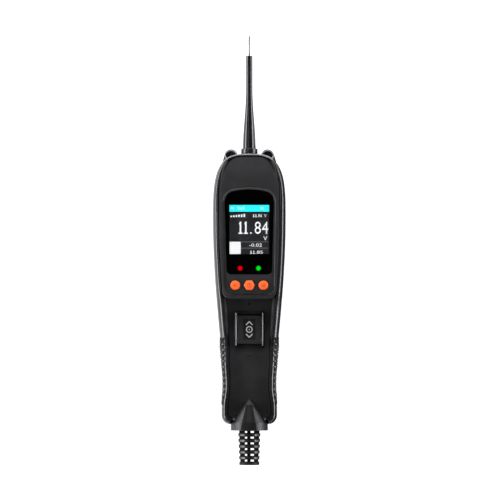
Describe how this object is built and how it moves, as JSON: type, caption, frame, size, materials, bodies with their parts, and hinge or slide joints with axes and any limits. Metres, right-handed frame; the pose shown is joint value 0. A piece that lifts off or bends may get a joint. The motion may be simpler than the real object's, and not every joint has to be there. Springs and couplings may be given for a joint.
{
  "type": "automotive circuit tester",
  "caption": "Handheld powered circuit tester with a probe tip, a colour display, push buttons, a power rocker, side grips and a slotted cable boot.",
  "frame": {"origin": "middle of the whole outline, from cable boot to needle tip, on the plane that the flat back rests on", "axes": "+Y along the tester towards the needle tip, +Z out of the display, +X to the right seen from the display side"},
  "size_m": [0.0516, 0.306, 0.0385],
  "materials": {
    "matt_cover": "fine matt moulded ABS",
    "shell": "satin moulded ABS",
    "soft_grip": "satin soft grip",
    "lens": "clear polished acrylic",
    "black_frame": "black bonding film",
    "lcd_body": "moulded display carrier",
    "lcd_screen": "display glass",
    "red_light": "lit red light pipe",
    "green_light": "lit green light pipe",
    "button_orange": "moulded silicone",
    "part_black": "satin black moulding",
    "board_green": "solder mask",
    "component_blue": "moulded component",
    "component_dark": "moulded component",
    "terminal_green": "moulded terminal",
    "screw_steel": "zinc plated",
    "needle_steel": "ground stainless steel",
    "plug_brass": "turned brass",
    "socket_metal": "nickel plated",
    "sleeve_black": "glossy insulating sleeve",
    "lamp_clear": "clear moulded lens",
    "led_white": "cast epoxy",
    "boot_rubber": "flexible boot"
  },
  "bodies": {
    "housing": {"front_cover": "matt_cover", "rear_shell": "shell", "left_side_grip": "soft_grip", "right_side_grip": "soft_grip", "display_lens": "lens", "lens_frame": "black_frame", "lcd_module": "lcd_body", "lcd_glass": "lcd_screen", "indicator_red": "red_light", "indicator_green": "green_light", "key_switches": "component_dark", "display_board": "board_green", "display_board_screws": "screw_steel", "controller_chip": "component_dark", "link_header": "component_dark", "power_board": "board_green", "power_board_screws": "screw_steel", "rocker_switches": "component_dark", "power_relays": "component_blue", "buzzer": "component_dark", "capacitor": "component_blue", "wire_terminal": "terminal_green", "rocker_bezel": "part_black", "rocker_axle": "needle_steel", "probe_needle": "needle_steel", "probe_sleeve": "sleeve_black", "probe_collar": "part_black", "probe_plug": "plug_brass", "probe_socket": "socket_metal", "left_lamp_hood": "part_black", "right_lamp_hood": "part_black", "left_lamp_lens": "lamp_clear", "right_lamp_lens": "lamp_clear", "left_lamp_led": "led_white", "right_lamp_led": "led_white", "cable_boot": "boot_rubber", "case_screws": "screw_steel"},
    "button_left": {"button_left": "button_orange"},
    "button_centre": {"button_centre": "button_orange"},
    "button_right": {"button_right": "button_orange"},
    "rocker": {"rocker_cap": "matt_cover"}
  },
  "joints": [
    {"name": "rocker_tilt", "type": "hinge", "parent": "housing", "child": "rocker", "pos_m": [0, -0.0565, 0.0242], "axis": [1, 0, 0], "range_deg": [-6, 6], "stiffness_Nm_per_rad": 0.2},
    {"name": "button_left_press", "type": "slide", "parent": "housing", "child": "button_left", "axis": [0, 0, -1], "range_m": [0, 0.0005], "stiffness_N_per_m": 500},
    {"name": "button_centre_press", "type": "slide", "parent": "housing", "child": "button_centre", "axis": [0, 0, -1], "range_m": [0, 0.0005], "stiffness_N_per_m": 500},
    {"name": "button_right_press", "type": "slide", "parent": "housing", "child": "button_right", "axis": [0, 0, -1], "range_m": [0, 0.0005], "stiffness_N_per_m": 500}
  ]
}
